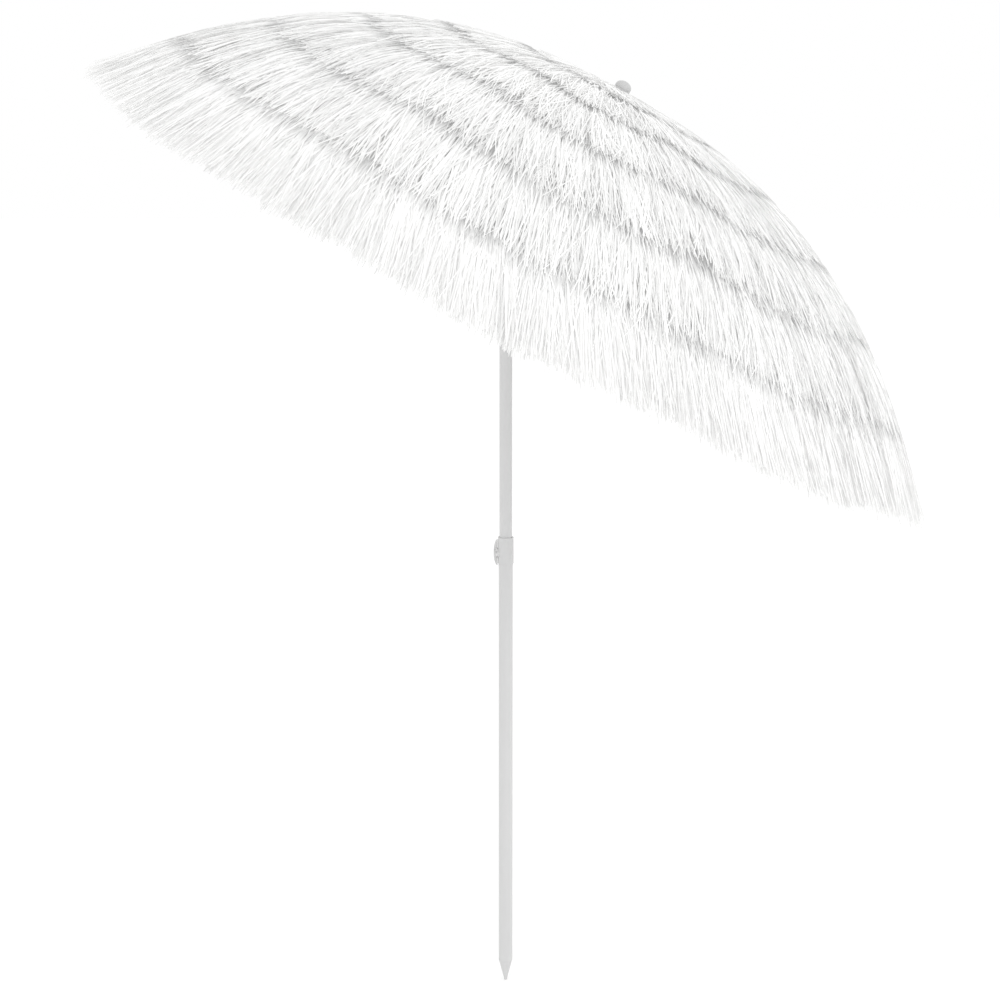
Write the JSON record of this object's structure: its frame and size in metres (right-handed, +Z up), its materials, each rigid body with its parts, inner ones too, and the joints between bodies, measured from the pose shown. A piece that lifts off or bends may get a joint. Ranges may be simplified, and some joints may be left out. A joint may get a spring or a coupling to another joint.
{
  "type": "beach umbrella",
  "caption": "Tilting beach umbrella: raffia-covered folding canopy on ribs, telescopic round pole with clamp collar and pointed foot.",
  "frame": {"origin": "on the pole's axis, at the lower end of the lower tube's straight wall", "axes": "+Z up the lower pole; +X towards the side that the canopy leans to; +Y away from a viewer who sees the canopy lean to the right"},
  "size_m": [1.5862, 1.7998, 1.9432],
  "materials": {
    "pole_paint": "satin",
    "rib_paint": "satin",
    "knuckle_paint": "satin",
    "collar_plastic": "satin",
    "knob_plastic": "satin",
    "spike_plastic": "satin",
    "hub_plastic": "satin",
    "finial_plastic": "satin",
    "zinc_steel": "satin",
    "pad_brass": "satin",
    "under_cloth": "matte",
    "raffia": "satin"
  },
  "bodies": {
    "lower_pole": {"ground_spike": "spike_plastic", "lower_tube": "pole_paint", "clamp_collar": "collar_plastic", "clamp_nut": "zinc_steel"},
    "clamp_pad": {"clamp_pad": "pad_brass"},
    "wing_screw": {"wing_knob": "knob_plastic", "clamp_screw": "zinc_steel"},
    "pole_guide": {"guide_plug": "hub_plastic"},
    "upper_pole": {"upper_tube": "pole_paint", "tilt_fork": "knuckle_paint", "tilt_pin": "zinc_steel"},
    "canopy_pole": {"tilt_tongue": "knuckle_paint", "canopy_tube": "pole_paint", "crown_hub": "hub_plastic", "crown_ring": "zinc_steel", "finial_cap": "finial_plastic"},
    "tilt_button": {"tilt_button": "zinc_steel"},
    "runner_latch": {"runner_latch": "zinc_steel"},
    "runner": {"runner": "hub_plastic", "runner_ring": "zinc_steel"},
    "rib_1": {"rib_1": "rib_paint", "rib_fittings_1": "zinc_steel", "fabric_gore_1": "under_cloth", "raffia_gore_1": "raffia"},
    "stretcher_1": {"stretcher_1": "rib_paint"},
    "rib_2": {"rib_2": "rib_paint", "rib_fittings_2": "zinc_steel", "fabric_gore_2": "under_cloth", "raffia_gore_2": "raffia"},
    "stretcher_2": {"stretcher_2": "rib_paint"},
    "rib_3": {"rib_3": "rib_paint", "rib_fittings_3": "zinc_steel", "fabric_gore_3": "under_cloth", "raffia_gore_3": "raffia"},
    "stretcher_3": {"stretcher_3": "rib_paint"},
    "rib_4": {"rib_4": "rib_paint", "rib_fittings_4": "zinc_steel", "fabric_gore_4": "under_cloth", "raffia_gore_4": "raffia"},
    "stretcher_4": {"stretcher_4": "rib_paint"},
    "rib_5": {"rib_5": "rib_paint", "rib_fittings_5": "zinc_steel", "fabric_gore_5": "under_cloth", "raffia_gore_5": "raffia"},
    "stretcher_5": {"stretcher_5": "rib_paint"},
    "rib_6": {"rib_6": "rib_paint", "rib_fittings_6": "zinc_steel", "fabric_gore_6": "under_cloth", "raffia_gore_6": "raffia"},
    "stretcher_6": {"stretcher_6": "rib_paint"},
    "rib_7": {"rib_7": "rib_paint", "rib_fittings_7": "zinc_steel", "fabric_gore_7": "under_cloth", "raffia_gore_7": "raffia"},
    "stretcher_7": {"stretcher_7": "rib_paint"},
    "rib_8": {"rib_8": "rib_paint", "rib_fittings_8": "zinc_steel", "fabric_gore_8": "under_cloth", "raffia_gore_8": "raffia"},
    "stretcher_8": {"stretcher_8": "rib_paint"}
  },
  "joints": [
    {"name": "pad_travel", "type": "slide", "parent": "lower_pole", "child": "clamp_pad", "axis": [-1, 0, 0], "range_m": [0, 0.000801]},
    {"name": "knob_turn", "type": "hinge", "parent": "clamp_pad", "child": "wing_screw", "pos_m": [-0.018, 0, 0.848], "axis": [-1, 0, 0], "range_deg": [0, 288]},
    {"name": "pole_slide", "type": "slide", "parent": "lower_pole", "child": "pole_guide", "axis": [0, 0, 1], "range_m": [-0.35, 0.09]},
    {"name": "pole_swivel", "type": "hinge", "parent": "pole_guide", "child": "upper_pole", "pos_m": [0, 0, 0.54], "axis": [0, 0, 1], "continuous": true},
    {"name": "canopy_tilt", "type": "hinge", "parent": "upper_pole", "child": "canopy_pole", "pos_m": [0, 0, 1.336], "axis": [0, 1, 0], "range_deg": [-28.2, 0], "deforming": ["tilt_button"]},
    {"name": "tilt_button_press", "type": "slide", "parent": "canopy_pole", "child": "tilt_button", "axis": [0, -1, 0], "range_m": [0, 0.0036], "stiffness_N_per_m": 800, "springref_m": -0.001, "deforming": ["tilt_button"]},
    {"name": "latch_press", "type": "hinge", "parent": "canopy_pole", "child": "runner_latch", "pos_m": [0.14002, -0.0083, 1.59713], "axis": [-0.8813, 0, 0.4726], "range_deg": [0, 5.5], "stiffness_Nm_per_rad": 2, "springref_deg": -2.86, "deforming": ["runner_latch"]},
    {"name": "canopy_fold", "type": "hinge", "parent": "canopy_pole", "child": "rib_1", "pos_m": [0.2251, 0.00551, 1.71513], "axis": [-0.2429, 0.9613, 0.1303], "range_deg": [0, 62], "deforming": ["fabric_gore_1", "raffia_gore_1", "runner_latch"]},
    {"name": "stretcher_1_swing", "type": "hinge", "parent": "rib_1", "child": "stretcher_1", "pos_m": [0.38714, 0.06285, 1.59421], "axis": [-0.2429, 0.9613, 0.1303], "range_deg": [-124, 0]},
    {"name": "runner_pivot", "type": "hinge", "parent": "stretcher_1", "child": "runner", "pos_m": [0.19675, 0.00551, 1.66225], "axis": [-0.2429, 0.9613, 0.1303], "range_deg": [0, 62]},
    {"name": "rib_2_fold", "type": "hinge", "parent": "canopy_pole", "child": "rib_2", "pos_m": [0.2167, 0.01749, 1.71963], "axis": [-0.7708, 0.4848, 0.4133], "range_deg": [0, 62], "deforming": ["fabric_gore_2", "raffia_gore_2"]},
    {"name": "stretcher_2_swing", "type": "hinge", "parent": "rib_2", "child": "stretcher_2", "pos_m": [0.2914, 0.19941, 1.64554], "axis": [-0.7708, 0.4848, 0.4133], "range_deg": [-124, 0]},
    {"name": "rib_3_fold", "type": "hinge", "parent": "canopy_pole", "child": "rib_3", "pos_m": [0.2033, 0.01923, 1.72682], "axis": [-0.8472, -0.2756, 0.4542], "range_deg": [0, 62], "deforming": ["fabric_gore_3", "raffia_gore_3"]},
    {"name": "stretcher_3_swing", "type": "hinge", "parent": "rib_3", "child": "stretcher_3", "pos_m": [0.1386, 0.21917, 1.72747], "axis": [-0.8472, -0.2756, 0.4542], "range_deg": [-124, 0]},
    {"name": "rib_4_fold", "type": "hinge", "parent": "canopy_pole", "child": "rib_4", "pos_m": [0.19274, 0.0097, 1.73248], "axis": [-0.4273, -0.8746, 0.2291], "range_deg": [0, 62], "deforming": ["fabric_gore_4", "raffia_gore_4"]},
    {"name": "stretcher_4_swing", "type": "hinge", "parent": "rib_4", "child": "stretcher_4", "pos_m": [0.01824, 0.11054, 1.79201], "axis": [-0.4273, -0.8746, 0.2291], "range_deg": [-124, 0]},
    {"name": "rib_5_fold", "type": "hinge", "parent": "canopy_pole", "child": "rib_5", "pos_m": [0.19122, -0.00551, 1.7333], "axis": [0.2429, -0.9613, -0.1303], "range_deg": [0, 62], "deforming": ["fabric_gore_5", "raffia_gore_5"]},
    {"name": "stretcher_5_swing", "type": "hinge", "parent": "rib_5", "child": "stretcher_5", "pos_m": [0.00083, -0.06285, 1.80134], "axis": [0.2429, -0.9613, -0.1303], "range_deg": [-124, 0]},
    {"name": "rib_6_fold", "type": "hinge", "parent": "canopy_pole", "child": "rib_6", "pos_m": [0.19961, -0.01749, 1.7288], "axis": [0.7708, -0.4848, -0.4133], "range_deg": [0, 62], "deforming": ["fabric_gore_6", "raffia_gore_6"]},
    {"name": "stretcher_6_swing", "type": "hinge", "parent": "rib_6", "child": "stretcher_6", "pos_m": [0.09657, -0.19941, 1.75001], "axis": [0.7708, -0.4848, -0.4133], "range_deg": [-124, 0]},
    {"name": "rib_7_fold", "type": "hinge", "parent": "canopy_pole", "child": "rib_7", "pos_m": [0.21302, -0.01923, 1.72161], "axis": [0.8472, 0.2756, -0.4542], "range_deg": [0, 62], "deforming": ["fabric_gore_7", "raffia_gore_7"]},
    {"name": "stretcher_7_swing", "type": "hinge", "parent": "rib_7", "child": "stretcher_7", "pos_m": [0.24937, -0.21917, 1.66808], "axis": [0.8472, 0.2756, -0.4542], "range_deg": [-124, 0]},
    {"name": "rib_8_fold", "type": "hinge", "parent": "canopy_pole", "child": "rib_8", "pos_m": [0.22357, -0.0097, 1.71595], "axis": [0.4273, 0.8746, -0.2291], "range_deg": [0, 62], "deforming": ["fabric_gore_8", "raffia_gore_8"]},
    {"name": "stretcher_8_swing", "type": "hinge", "parent": "rib_8", "child": "stretcher_8", "pos_m": [0.36973, -0.11054, 1.60354], "axis": [0.4273, 0.8746, -0.2291], "range_deg": [-124, 0]}
  ],
  "couplings": [
    {"joint": "pad_travel", "follows": "knob_turn", "m_per_rad": 0.00015915},
    {"joint": "stretcher_1_swing", "follows": "canopy_fold", "ratio": -2},
    {"joint": "runner_pivot", "follows": "canopy_fold", "ratio": 1},
    {"joint": "rib_2_fold", "follows": "canopy_fold", "ratio": 1},
    {"joint": "stretcher_2_swing", "follows": "canopy_fold", "ratio": -2},
    {"joint": "rib_3_fold", "follows": "canopy_fold", "ratio": 1},
    {"joint": "stretcher_3_swing", "follows": "canopy_fold", "ratio": -2},
    {"joint": "rib_4_fold", "follows": "canopy_fold", "ratio": 1},
    {"joint": "stretcher_4_swing", "follows": "canopy_fold", "ratio": -2},
    {"joint": "rib_5_fold", "follows": "canopy_fold", "ratio": 1},
    {"joint": "stretcher_5_swing", "follows": "canopy_fold", "ratio": -2},
    {"joint": "rib_6_fold", "follows": "canopy_fold", "ratio": 1},
    {"joint": "stretcher_6_swing", "follows": "canopy_fold", "ratio": -2},
    {"joint": "rib_7_fold", "follows": "canopy_fold", "ratio": 1},
    {"joint": "stretcher_7_swing", "follows": "canopy_fold", "ratio": -2},
    {"joint": "rib_8_fold", "follows": "canopy_fold", "ratio": 1},
    {"joint": "stretcher_8_swing", "follows": "canopy_fold", "ratio": -2}
  ]
}
